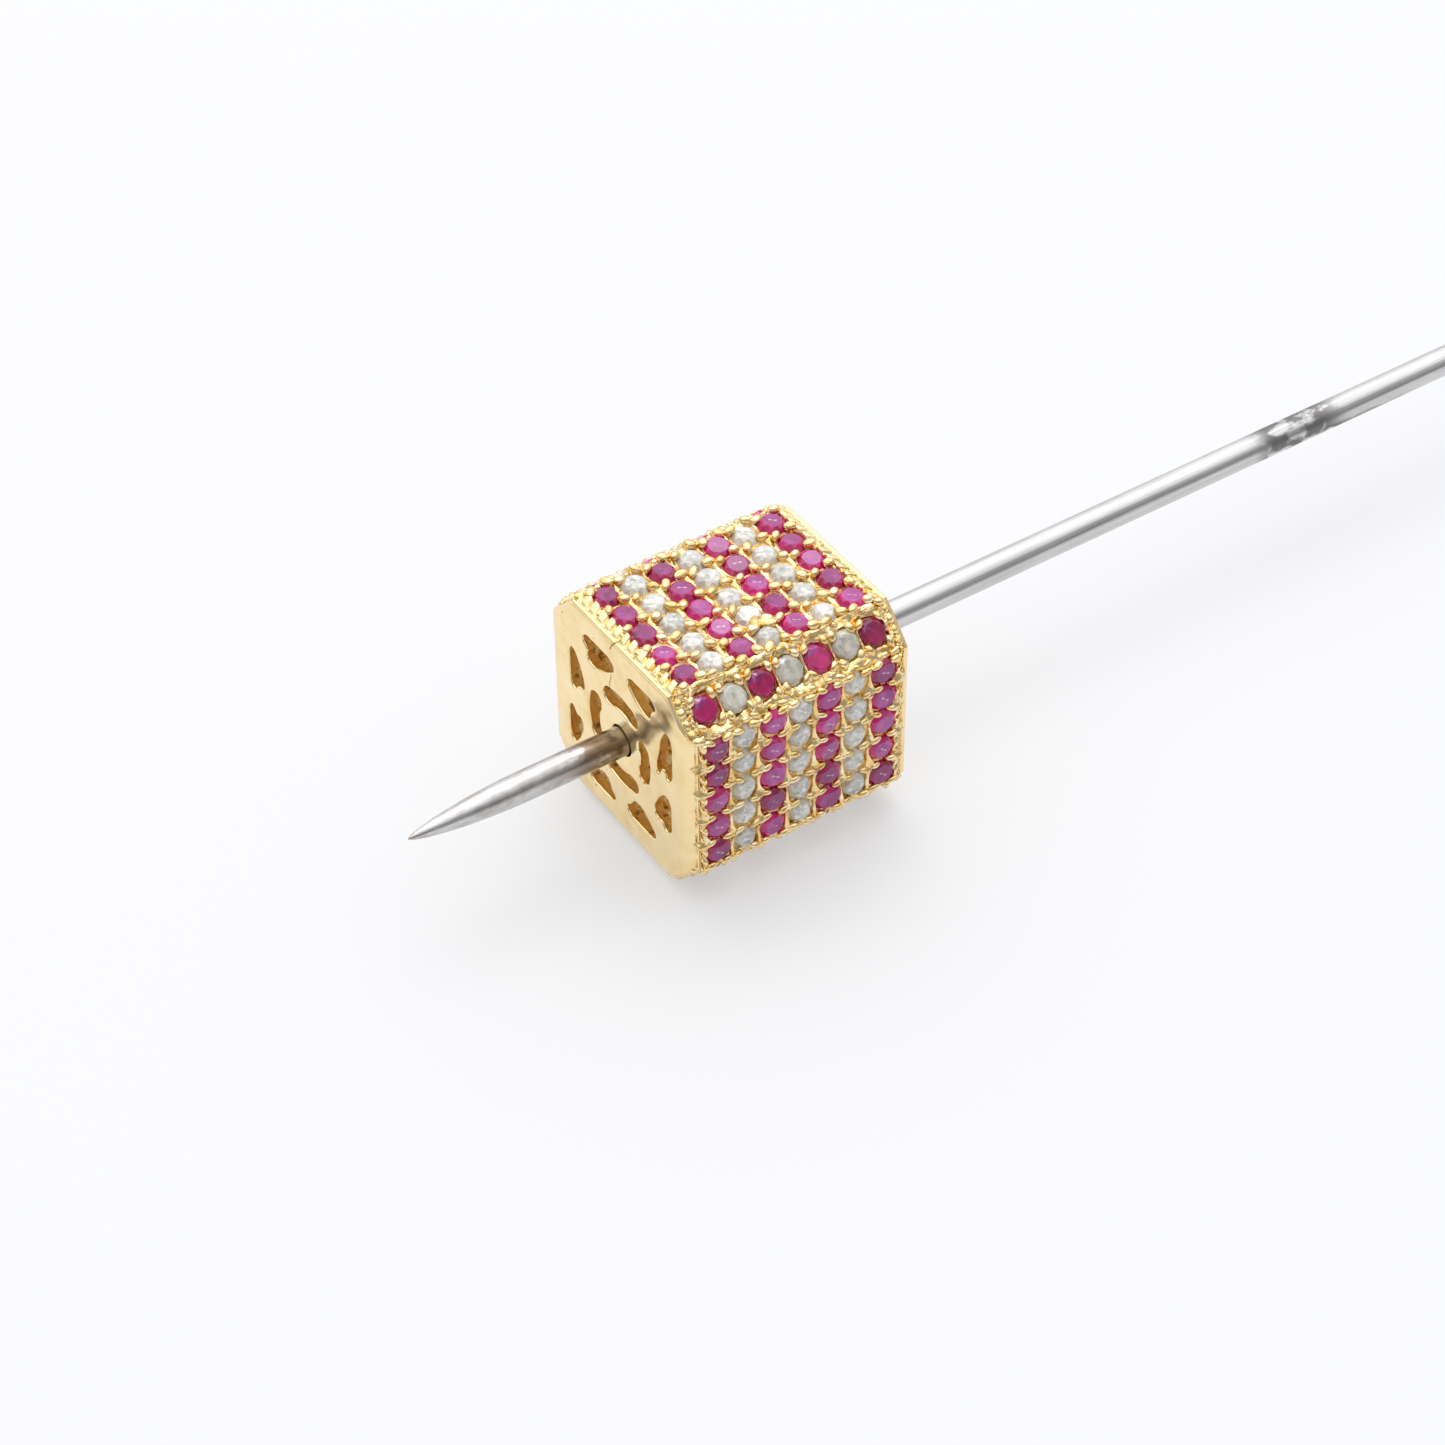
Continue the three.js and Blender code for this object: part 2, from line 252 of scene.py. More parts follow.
def polished_gold():
    """Pale polished gold with fine scratches, pinholes, a slight orange-peel and two hairline cracks."""
    finish = Finish("polished_gold", Metallic=1.0)
    along, across, up = finish.axes()
    swell = finish.noise(0.45, 2.0)
    cloud = finish.noise(1.6, 3.0)
    scratches = finish.noise(9.0, 2.0, finish.stretched((1.0, 0.12, 1.3)))
    pits = finish.value("ShaderNodeTexVoronoi", None, finish.place, Scale=1.1, output="Distance")
    hole = 1.0 - pits.between(0.03, 0.075)
    front = 1.0 - along.between(-5.1, -4.9)
    wander = cloud * 0.3 - 0.15
    lower = (across - 1.25 + up * 0.21 + wander).math("ABSOLUTE")
    crack = (1.0 - lower.between(0.012, 0.04)) * up.between(1.5, 1.7) * (1.0 - up.between(3.1, 3.3))
    seam = (across - 3.2 + up * 0.57 + wander * 0.5).math("ABSOLUTE")
    crack = crack + (1.0 - seam.between(0.02, 0.06)) * up.between(4.5, 4.6)
    dark = (hole * 0.8 + crack * front * 0.8).math("MINIMUM", 1.0)
    colour = finish.ramp(
        cloud * 0.5 + swell * 0.5,
        (0.3, (0.88, 0.64, 0.29)),
        (0.5, (0.96, 0.76, 0.41)),
        (0.7, (0.99, 0.82, 0.48)),
    )
    colour = finish.blend(dark, colour, (0.16, 0.07, 0.015))
    rough = 0.14 + cloud * 0.1 + scratches * 0.05
    return finish.look(colour, rough, swell * 0.5 + cloud * 0.2 + scratches * 0.06 - dark * 0.5, 0.03)


def set_gold():
    """Bright worked gold round the stones, with painted cream highlights on its lumps and painted deeper
    amber shade in its hollows.
    """
    finish = Finish("set_gold", Metallic=1.0)
    lumps = finish.noise(2.4, 2.0)
    fine = finish.noise(6.0, 1.0)
    # Painted light and shade: the colour follows the same lumps as the relief, cream on their tops and deep
    # amber in the hollows.
    colour = finish.ramp(
        lumps * 0.8 + fine * 0.2,
        (0.32, (0.80, 0.51, 0.15)),
        (0.50, (0.94, 0.71, 0.34)),
        (0.68, (0.99, 0.85, 0.57)),
    )
    return finish.look(colour, 0.14 + fine * 0.16, lumps * 0.7 + fine * 0.3, 0.07)


def cast_gold_with_painted_light():
    """Dull amber gold, as cast, inside the bead, painted dark brown in its hollows and pale on its lumps. It
    glows a little, a painted stand-in for light that comes to it through the stones.
    """
    finish = Finish("cast_gold_with_painted_light", Metallic=0.35)
    lumps = finish.noise(2.0, 4.0)
    fine = finish.noise(9.0, 3.0)
    # Painted light and shade: the colour follows the same lumps as the relief, dark brown in the hollows and
    # pale on the tops.
    colour = finish.ramp(
        lumps * 0.75 + fine * 0.25,
        (0.38, (0.26, 0.09, 0.01)),
        (0.47, (0.80, 0.47, 0.11)),
        (0.58, (0.99, 0.87, 0.52)),
    )
    finish.look(colour, 0.2 + fine * 0.2, lumps * 0.6 + fine * 0.4, 0.16)
    # A painted glow: the inside gives off light in its own colour, though it is no lamp.
    finish.put(finish.shader.inputs["Emission Color"], colour)
    finish.shader.inputs["Emission Strength"].default_value = 0.15
    return finish


def stone_pattern(finish, facets_per_mm):
    """What shows in a stone.

    Gives painted facet reflections over the stone's own milky clouding, 0 on the table to 1 on the crown, a
    painted bow-shaped highlight of reflected light, and the stone's tone.
    """
    flat = finish.node("ShaderNodeUVMap", {"uv_map": "Stone"}).outputs["UV"]
    across, along, _ = finish.axes(flat)
    tone = finish.value("ShaderNodeAttribute", {"attribute_name": "tone"}, output="Fac")
    shift = finish.node("ShaderNodeCombineXYZ", None, tone * 31.0, tone * 17.0, tone * 5.0).outputs[0]
    own = finish.node("ShaderNodeVectorMath", {"operation": "ADD"}, flat, shift).outputs[0]
    # Painted reflections of the stone's inner facets: each cell is one flat patch of lighter or darker
    # colour.
    cells = finish.node("ShaderNodeTexVoronoi", {"distance": "CHEBYCHEV"}, own, Scale=facets_per_mm)
    painted_facet_reflections = finish.axes(cells.outputs["Color"])[0]
    milk = finish.noise(2.4, 3.0, own)
    out = (across * across + along * along) ** 0.5
    ragged = out + milk * 0.12 - 0.06
    crown = ragged.between(0.36, 0.45)
    # A painted highlight: a white bow-shaped streak across the middle of the table, where a lamp would be
    # reflected.
    bow = across.math("ABSOLUTE")
    width = bow * 0.3 + 0.02 - (along + milk * 0.1 - 0.05).math("ABSOLUTE")
    painted_glint_strength = (tone * 13.0).math("FRACT").between(0.2, 0.7)
    painted_glint = width.between(0.0, 0.03) * (1.0 - bow.between(0.13, 0.2)) * painted_glint_strength
    return painted_facet_reflections * 0.5 + milk * 0.5, crown, painted_glint, tone


def ruby():
    """Waxy crimson corundum, magenta round the crown, with a painted mauve reflection of the sky across the
    table and a painted highlight.
    """
    finish = Finish("ruby", IOR=1.77, Specular_IOR_Level=0.4)
    light, crown, painted_glint, tone = stone_pattern(finish, 3.2)
    # The value named light mixes painted facet reflections with the stone's own clouding; tone is added to
    # it.
    body = light * 0.5 + tone * 0.5
    # The table's mauve is a painted reflection of the white sky over the crimson. The rim keeps the stone's
    # own crimson.
    table = finish.ramp(
        body,
        (0.2, (0.17, 0.005, 0.08)),
        (0.5, (0.31, 0.022, 0.19)),
        (0.8, (0.48, 0.08, 0.35)),
    )
    rim = finish.ramp(
        body,
        (0.2, (0.21, 0.001, 0.04)),
        (0.5, (0.43, 0.002, 0.11)),
        (0.8, (0.66, 0.006, 0.21)),
    )
    colour = finish.blend(crown, table, rim)
    # A painted pale pink highlight across the table.
    colour = finish.blend(painted_glint * 0.6, colour, (0.85, 0.62, 0.75))
    return finish.look(colour, 0.07 + light * 0.12)


def diamond():
    """Icy, well-included diamond, with painted facet reflections and a painted white highlight."""
    finish = Finish("diamond", IOR=2.0)
    light, crown, painted_glint, tone = stone_pattern(finish, 5.0)
    # Its greys come from painted facet reflections mixed with the stone's own clouding and tone.
    grey = finish.ramp(
        light * 0.8 + tone * 0.2,
        (0.22, (0.30, 0.29, 0.26)),
        (0.40, (0.48, 0.47, 0.43)),
        (0.60, (0.62, 0.61, 0.57)),
        (0.80, (0.90, 0.90, 0.87)),
    )
    colour = finish.blend(crown * 0.4, grey, (0.60, 0.54, 0.40))
    # A painted white highlight across the table.
    colour = finish.blend(painted_glint * 0.7, colour, (0.95, 0.95, 0.93))
    return finish.look(colour, 0.05 + light * 0.12)


def stem_steel():
    """Satin steel drawn lengthways: tarnished on the shank, stained at the bead, warmer at the point."""
    finish = Finish("stem_steel", Metallic=1.0)
    along, across, up = finish.axes()
    drawn = finish.noise(3.0, 3.0, finish.stretched((0.05, 4.0, 4.0)))
    cloud = finish.noise(0.35, 3.0)
    specks = finish.noise(1.9, 4.0, finish.stretched((0.6, 1.0, 1.0)))
    patch = along.between(27.2, 28.6) * (1.0 - along.between(31.2, 33.2))
    streak = along.between(27.5, 30.0) * (1.0 - along.between(34.0, 37.5)) * (0.1 - up).between(0.0, 0.4)
    tarnish = (patch + streak * 0.7).math("MINIMUM", 1.0) * specks.between(0.38, 0.55)
    light_stain = along.between(-9.2, -7.0) * specks.between(0.3, 0.55)
    deep_stain = along.between(-7.4, -5.6) * specks.between(0.3, 0.5)
    stain = (light_stain + deep_stain).math("MINIMUM", 1.0) * (1.0 - along.between(-5.0, -4.6))
    colour = finish.ramp(
        drawn * 0.6 + cloud * 0.4,
        (0.3, (0.51, 0.505, 0.50)),
        (0.55, (0.64, 0.635, 0.63)),
        (0.75, (0.74, 0.735, 0.73)),
    )
    handled = specks.between(0.4, 0.6) * (1.0 - along.between(-8.0, -5.0))
    colour = finish.blend(handled * 0.55, colour, (0.42, 0.365, 0.33))
    colour = finish.blend(stain * 0.7, colour, (0.16, 0.09, 0.035))
    colour = finish.blend(tarnish * 0.85, colour, (0.14, 0.135, 0.13))
    rough = 0.2 + drawn * 0.1 + tarnish * 0.25
    return finish.look(colour, rough, drawn * 0.8 + tarnish * 0.4, 0.006)


def spring_steel():
    """Darker sleeve steel with turning marks."""
    finish = Finish("spring_steel", Metallic=1.0)
    rings = finish.noise(6.0, 2.0, finish.stretched((3.0, 0.2, 0.2)))
    colour = finish.blend(rings, (0.28, 0.24, 0.19), (0.44, 0.40, 0.34))
    return finish.look(colour, 0.3 + rings * 0.15, rings, 0.01)


POLISHED = polished_gold()
WORKED = set_gold()
CAST = cast_gold_with_painted_light()
RUBY = ruby()
DIAMOND = diamond()
STEEL = stem_steel()
SPRING = spring_steel()

# ---- Making pieces ----


def make_piece(bm, name, finish, nodes, body="bead", origin=BEAD, sharp_angle=35.0):
    bmesh.ops.recalc_face_normals(bm, faces=bm.faces)
    bmesh.ops.transform(bm, matrix=Matrix.Translation(origin) @ Matrix.Scale(MM, 4), verts=bm.verts)
    mesh = bpy.data.meshes.new(name)
    bm.to_mesh(mesh)
    bm.free()
    mesh.shade_smooth()
    mesh.set_sharp_from_angle(angle=math.radians(sharp_angle))
    mesh.materials.append(finish.material)
    piece = bpy.data.objects.new(name, mesh)
    bpy.context.scene.collection.objects.link(piece)
    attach(piece, body)
    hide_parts(*nodes)
    return piece


def sweep(bm, around, along, place):
    """A closed skin. place(a, b) gives each point: a goes once round it and b from end to end, each 0 to 1.

    Where a whole end falls on one point, it closes there. Where b's ends meet, they are joined.
    """
    made = bmesh.ops.create_grid(bm, x_segments=around, y_segments=along, size=1.0)["verts"]
    for vert in made:
        vert.co = place((vert.co.x + 1) / 2, (vert.co.y + 1) / 2)
    bmesh.ops.remove_doubles(bm, verts=made, dist=1e-4)


def add_copy(bm, template, matrix):
    """Adds a template's mesh, moved, and returns its new vertices."""
    before = len(bm.verts)
    bm.from_mesh(template)
    bm.verts.ensure_lookup_table()
    new = bm.verts[before:]
    bmesh.ops.transform(bm, matrix=matrix, verts=new)
    return new


def template_of(bm, name):
    mesh = bpy.data.meshes.new(name)
    bm.to_mesh(mesh)
    bm.free()
    return mesh


def turned(quarters):
    """From the top face's frame to another face's, or with half a quarter more, to an edge's."""
    return Matrix.Rotation(math.radians(90 * quarters), 4, "X")


# ---- Stones ----


def stone_template(name, table_share, crown_height, pattern_shift):
    """A round brilliant with its table at height 0, made as one eighth and spun.

    table_share is the table's width against the stone's. pattern_shift moves its finish's pattern, with its
    painted table reflection and painted highlight, off centre.
    """
    eighth = math.pi / 8
    table = STONE_RADIUS * table_share
    star = (table + STONE_RADIUS) / 2
    slope = crown_height / (STONE_RADIUS - table)
    star_drop = (star * math.cos(eighth) - table) * slope

    def at(radius, angle, height):
        return bm.verts.new((radius * math.cos(angle), radius * math.sin(angle), height))

    bm = bmesh.new()
    middle = at(0, 0, 0)
    culet = at(0, 0, -crown_height - PAVILION_DEPTH)
    corners = [at(table, side * eighth, 0) for side in (-1, 1)]
    star_point = at(star, 0, -star_drop)
    girdle = [at(STONE_RADIUS, step * eighth, -crown_height) for step in (-1, 0, 1)]
    bm.faces.new((middle, *corners))
    bm.faces.new((corners[0], star_point, corners[1]))
    bm.faces.new((corners[0], girdle[0], star_point))
    bm.faces.new((corners[1], star_point, girdle[2]))
    for first, second in zip(girdle, girdle[1:]):
        bm.faces.new((star_point, first, second))
        bm.faces.new((culet, second, first))
    bmesh.ops.spin(
        bm, geom=bm.faces[:] + bm.edges[:] + bm.verts[:], cent=(0, 0, 0), axis=(0, 0, 1),
        angle=2 * math.pi * 7 / 8, steps=7, use_duplicate=True,
    )
    bmesh.ops.remove_doubles(bm, verts=bm.verts, dist=1e-4)
    bmesh.ops.dissolve_limit(bm, angle_limit=math.radians(1), verts=bm.verts, edges=bm.edges)
    bmesh.ops.recalc_face_normals(bm, faces=bm.faces)
    bm.verts.layers.float.new("tone")
    layer = bm.loops.layers.uv.new("Stone")
    for face in bm.faces:
        for loop in face.loops:
            loop[layer].uv = loop.vert.co.xy + pattern_shift
    return template_of(bm, name)


FACE_STONE = stone_template("face_stone", 0.64, 0.3, pattern_shift=Vector((0.0, 0.0)))
# The edge stones' painted reflection and highlight sit off centre, near one side of the crown.
EDGE_STONE = stone_template("edge_stone", 0.72, 0.22, pattern_shift=Vector((0.62, -0.2)))
stone_chance = random.Random(4)


def add_stone(bm, template, place, tone, width, length):
    """One stone, turned, tilted and sized a little differently from the others."""
    vary = stone_chance.uniform
    turn = Matrix.Rotation(math.radians(vary(-50, -15)), 4, "Z")
    lean = Matrix.Rotation(math.radians(vary(-6, 6)), 4, "X")
    nod = Matrix.Rotation(math.radians(vary(-6, 6)), 4, "Y")
    size = vary(0.93, 1.04)
    shape = Matrix.Diagonal((width * size, length * size, size, 1.0))
    new = add_copy(bm, template, place @ lean @ nod @ shape @ turn)
    layer = bm.verts.layers.float["tone"]
    for vert in new:
        vert[layer] = tone


def stone_width(kind, face):
    """How wide a face's stones are along the bead, against their template."""
    if face in BEADED_FACES:
        return 0.97
    return 1.07 if kind == "ruby" else 0.92


def make_stones():
    """Each ring's stones: five to a face, and one on each cut edge."""
    for quarter, (face, edge) in enumerate(zip(FACES, EDGES)):
        for ring in range(RINGS):
            kind, finish = ("ruby", RUBY) if ring % 2 == 0 else ("diamond", DIAMOND)
            row = bmesh.new()
            for column in range(COLUMNS):
                level = FACE_TABLE - stone_chance.uniform(0.0, 0.05) - (0.0 if kind == "ruby" else 0.03)
                spot = Matrix.Translation((ring_place(ring), column_place(column), level))
                dull = (face, ring, column) == ("top", 3, 0)
                tone = 0.02 if dull else stone_chance.uniform(0.25, 0.95)
                add_stone(row, FACE_STONE, turned(quarter) @ spot, tone, stone_width(kind, face), 1.05)
            name, node = f"{kind}_stones_{ring + 1}_{face}", f"{kind}_row_{ring + 1}_{face}"
            make_piece(row, name, finish, [node], sharp_angle=3)
            single = bmesh.new()
            spot = Matrix.Translation((ring_place(ring), 0, EDGE_TABLE))
            tone = stone_chance.uniform(0.1, 0.8)
            add_stone(single, EDGE_STONE, turned(quarter + 0.5) @ spot, tone, 0.97, 0.97)
            name, node = f"{kind}_stone_{ring + 1}_{edge}", f"{kind}_edge_{ring + 1}_{edge}"
            make_piece(single, name, finish, [node], sharp_angle=3)


# ---- Gold round the stones ----


def grain_template():
    """A bead of metal as a graver leaves it, with a few flat cuts."""
    bm = bmesh.new()
    bmesh.ops.create_icosphere(bm, subdivisions=1, radius=1.08)
    for vert in bm.verts:
        vert.co *= 1 + 0.2 * noise.noise(vert.co * 2.3)
    bmesh.ops.bevel(bm, geom=bm.edges[:], offset=0.17, segments=1, profile=0.5, affect="EDGES", material=-1)
    return template_of(bm, "grain")


GRAIN = grain_template()
grain_chance = random.Random(11)


def add_grain(bm, frame_matrix, x, t, level, size, stretch, facing=0.0):
    """One grain at x along the bead, t across the face and a level out from the axis.

    On a face it stays below the level that the bead rests on.
    """
    vary = grain_chance.uniform
    roll = Matrix.Rotation(vary(-3.1, 3.1), 4, "Z")
    turn = Matrix.Rotation(facing + vary(-0.5, 0.5), 4, "Z") @ Matrix.Rotation(vary(-0.3, 0.3), 4, "Y")
    shape = Matrix.Diagonal((*(s * size * vary(0.88, 1.14) for s in stretch), 1.0))
    stray_x, stray_t = vary(-0.035, 0.035), vary(-0.035, 0.035)
    place = Matrix.Translation((x + stray_x, t + stray_t, level + vary(-0.02, 0.01)))
    on_face = level < GRAIN_TOP
    for vert in add_copy(bm, GRAIN, place @ turn @ shape @ roll):
        if on_face:
            vert.co.z = min(vert.co.z, GRAIN_TOP)
        vert.co = frame_matrix @ vert.co


def softened(number, power):
    """A sine or cosine squared off a little."""
    return math.copysign(abs(number) ** power, number)


def rail(bm, frame_matrix, line, waist, tooth, low, crest, seed):
    """The wall between two rings, scalloped round their stones, with a tooth between each two stones.

    At a stone's middle it is narrowest, waist to each side, and its top is at low. Between two stones
    each side widens by tooth, and the top rises to crest.
    """
    reach = 2 * COLUMN_PITCH + STONE_RADIUS + 0.05

    def place(a, b):
        t = -reach + 2 * reach * b
        slip = 0.09 * noise.noise(Vector((t * 0.9, line * 5.1, seed + 3.0)))
        nearest = min(abs(t + slip - column_place(column)) for column in range(COLUMNS))
        share = min(nearest / (COLUMN_PITCH / 2), 1.0)
        end = clamped(14 * min(b, 1 - b))
        angle = 2 * math.pi * a
        side, up = softened(math.cos(angle), 0.6), math.sin(angle)
        wobble = noise.noise(Vector((t * 2.0, line * 3.7, seed + (7.0 if side > 0 else 0.0))))
        half = (waist * (1 + 0.4 * wobble) + tooth * share**2.4 * (1 + 0.35 * wobble)) * end**0.5
        x = half * side + 0.08 * noise.noise(Vector((t * 1.3, line * 2.3, seed)))
        top = low + (crest - low) * share**1.5 * (1 - 0.25 * abs(side)) + 0.04 * wobble
        level = WALL_FOOT + ((top - WALL_FOOT) * softened(up, 0.5) if up > 0 else 0.2 * up)
        if end == 0:
            x, level = 0.0, WALL_FOOT
        return frame_matrix @ Vector((line_place(line) + x, t, min(level, GRAIN_TOP)))

    sweep(bm, 16, 140, place)


def add_line_grains(bm, frame_matrix, line, beaded):
    """The grains on both sides of a line, between each two stones and outside the last ones."""
    for gap in range(COLUMNS + 1):
        t = (gap - COLUMNS / 2) * COLUMN_PITCH
        if gap in (0, COLUMNS):
            t = math.copysign(2 * COLUMN_PITCH + 0.58, t)
        for side in (-1, 1):
            if (line == 0 and side < 0) or (line == RINGS and side > 0):
                continue
            if beaded:
                x, shift, facing = line_place(line) + side * 0.24, -side * 0.1, side * 0.5
                add_grain(bm, frame_matrix, x, t + shift, GRAIN_LEVEL, 0.25, (1.3, 0.9, 0.85), facing)
            else:
                x = line_place(line) + side * 0.27
                add_grain(bm, frame_matrix, x, t, GRAIN_LEVEL, 0.19, (1.6, 0.85, 0.95))


def add_smear(bm, frame_matrix):
    """Metal that ran over the middle ring between its first two stones."""
    x, t = ring_place(3), (column_place(0) + column_place(1)) / 2
    add_grain(bm, frame_matrix, x - 0.1, t + 0.1, GRAIN_LEVEL, 0.5, (1.5, 0.6, 0.4), 0.8)
    add_grain(bm, frame_matrix, x + 0.3, t - 0.05, GRAIN_LEVEL, 0.4, (1.3, 0.7, 0.45), -0.3)


def make_face_gold():
    """The walls and grains of each face."""
    for quarter, face in enumerate(FACES):
        matrix, seed = turned(quarter), quarter * 5.3
        beaded = face in BEADED_FACES
        walls, grains = bmesh.new(), bmesh.new()
        for line in range(RINGS + 1):
            if beaded:
                rail(walls, matrix, line, waist=0.11, tooth=0.2, low=4.98, crest=5.23, seed=seed)
            else:
                rail(walls, matrix, line, waist=0.09, tooth=0.3, low=5.12, crest=5.35, seed=seed)
            add_line_grains(grains, matrix, line, beaded)
        if face == "top":
            add_smear(grains, matrix)
        make_piece(walls, f"setting_walls_{face}", WORKED, ["bead_body"])
        make_piece(grains, f"setting_grains_{face}", WORKED, ["bead_body"], sharp_angle=80)


def band(bm, frame_matrix, centre, half_width, level, seed):
    """A lumpy strip of metal that runs the length of the bead beside the edge stones."""

    def place(a, b):
        x = -PAVE_HALF_LENGTH + 2 * PAVE_HALF_LENGTH * b
        end = clamped(25 * min(b, 1 - b))
        angle = 2 * math.pi * a
        side, up = softened(math.cos(angle), 0.7), math.sin(angle)
        lump = noise.fractal(Vector((x * 1.6, side * 0.6 + seed, seed)), 0.9, 2.0, 2)
        notch = abs(math.cos(math.pi * (x / RING_PITCH))) ** 8
        t = centre + half_width * side * end**0.5 * (1 + 0.3 * lump)
        high = level + 0.14 * lump - 0.08 * notch
        out = high - 0.3 + 0.3 * (softened(up, 0.6) * end**0.5 if up > 0 else up)
        if end == 0:
            t, out = centre, level - 0.3
        return frame_matrix @ Vector((x, t, out))

    sweep(bm, 20, 240, place)


def edge_bridge(bm, frame_matrix, x):
    """The thin wall between two stones of the cut edge."""

    def place(a, b):
        t = BRIDGE_HALF_LENGTH * (2 * b - 1)
        share = abs(t) / BRIDGE_HALF_LENGTH
        end = clamped(10 * min(b, 1 - b))
        angle = 2 * math.pi * a
        half = (0.07 + 0.2 * share**2.5) * end**0.5
        out = BRIDGE_LEVEL + (0.09 + 0.05 * share) * math.sin(angle) * end
        return frame_matrix @ Vector((x + half * math.cos(angle), t, out))

    sweep(bm, 10, 20, place)


def add_edge_grains(bm, frame_matrix, line):
    """The grains at one line of a cut edge: beads above the stones, tabs below, and lumps on the strips."""
    x = line_place(line)
    for side in (-1, 1):
        if abs(x + side * 0.2) > PAVE_HALF_LENGTH:
            continue
        add_grain(bm, frame_matrix, x + side * 0.2, 0.58, 6.16, 0.24, (0.85, 1.15, 0.95), side * -0.4)
        add_grain(bm, frame_matrix, x + side * 0.19, -0.58, 6.14, 0.23, (0.85, 1.3, 0.95), side * 0.3)
    broad, small = (1.4, 0.8, 0.8), (1.2, 0.8, 0.8)
    add_grain(bm, frame_matrix, x + 0.12, 1.02, 6.07, 0.25, broad)
    add_grain(bm, frame_matrix, x - 0.12, -1.02, 6.07, 0.25, broad)
    if line < RINGS:
        add_grain(bm, frame_matrix, x + 0.6, 0.98, 6.07, 0.17, small)
        add_grain(bm, frame_matrix, x + 0.75, -0.98, 6.07, 0.17, small)


def make_edge_gold():
    """The metal of each cut edge: two lumpy strips, walls between the stones, grains and end lumps."""
    for quarter, edge in enumerate(EDGES):
        matrix = turned(quarter + 0.5)
        strips, grains = bmesh.new(), bmesh.new()
        band(strips, matrix, STRIP_OFFSET, STRIP_HALF_WIDTH, STRIP_LEVEL, quarter * 2.0)
        band(strips, matrix, -STRIP_OFFSET, STRIP_HALF_WIDTH, STRIP_LEVEL, quarter * 2.0 + 9.0)
        for line in range(RINGS + 1):
            edge_bridge(strips, matrix, line_place(line))
            add_edge_grains(grains, matrix, line)
        for end in (-1, 1):
            for t in (-0.75, -0.25, 0.25, 0.7):
                add_grain(grains, matrix, end * END_LUMP_PLACE, t, END_LUMP_LEVEL, 0.3, (0.85, 1.1, 0.85))
        make_piece(strips, f"edge_strips_{edge}", WORKED, ["bead_body"])
        make_piece(grains, f"edge_grains_{edge}", WORKED, ["bead_body"], sharp_angle=80)


# ---- Shell, ribbed bands and plates ----

# The front's near side is filed back in two flats: (where each starts, its width, its slope).
FILED_FLATS = ((4.35, 0.6, 0.25), (4.6, 0.35, 0.5))

# The ribbed band's section: (place along the bead, level). The last five points are its rounded rim.
BAND_SECTION = (
    (4.58, 4.8), (4.58, 5.16), (4.63, 5.23), (4.7, 5.235), (4.77, 5.215), (4.84, 5.185),
    (4.91, 5.155), (4.98, 5.12), (5.04, 5.08), (5.08, 5.02), (5.11, 5.0),
    (5.15, 5.03), (5.21, 5.05), (5.27, 5.03), (5.31, 4.97), (5.31, 4.8),
)


def turned_points(points, quarters):
    """Points turned clockwise by quarters, as seen."""
    angle = math.radians(-90 * quarters)
    cosine, sine = math.cos(angle), math.sin(angle)
    return [(x * cosine - y * sine, x * sine + y * cosine) for x, y in points]


def cut_square_point(level, edge_level, turn):
    """A point on a square with cut corners, and how far round it is, in millimetres. turn is 0 to 1."""
    corner = edge_level * math.sqrt(2) - level
    corners = []
    for quarter in range(4):
        corners += [Vector(point) for point in turned_points(((-corner, level), (corner, level)), quarter)]
    lengths = [(corners[(i + 1) % 8] - corners[i]).length for i in range(8)]
    left = (turn % 1.0) * sum(lengths)
    walked = left
    for i, length in enumerate(lengths):
        if left <= length:
            return corners[i].lerp(corners[(i + 1) % 8], left / length), walked
        left -= length
    return corners[0], walked


def make_shell():
    """The cast shell. Its inner wall bulges under each stone."""
    end = SHELL_HALF_LENGTH

    def run(b):
        """Along the outside, back along the inside, and out again to meet the start: (x, level)."""
        if b < 0.1:
            return -end + 2 * end * b / 0.1, SHELL_LEVEL
        if b < 0.995:
            return end - 2 * end * clamped((b - 0.12) / 0.86), CAVITY_LEVEL
        return -end, SHELL_LEVEL

    def place(a, b):
        x, level = run(b)
        (y, z), walked = cut_square_point(level, level * SHELL_EDGE_RATIO, a)
        if level == CAVITY_LEVEL and abs(x) < end - 0.3:
            ring_share = math.cos(2 * math.pi * x / RING_PITCH)
            column_share = math.cos(2 * math.pi * walked / COLUMN_PITCH)
            lump = noise.fractal(Vector((x, y, z)) * 1.3, 0.7, 2.0, 3)
            shrink = 1 - (0.018 * (1 + ring_share * column_share) + 0.022 * lump)
            y, z = y * shrink, z * shrink
        return Vector((x, y, z))

    bm = bmesh.new()
    sweep(bm, 208, 120, place)
    make_piece(bm, "bead_shell", CAST, ["bead_body"], sharp_angle=60)


def filed_back(y):
    """How far the front is filed back at a place across the bead."""
    return sum(slope * min(max(-y - start, 0.0), width) for start, width, slope in FILED_FLATS)


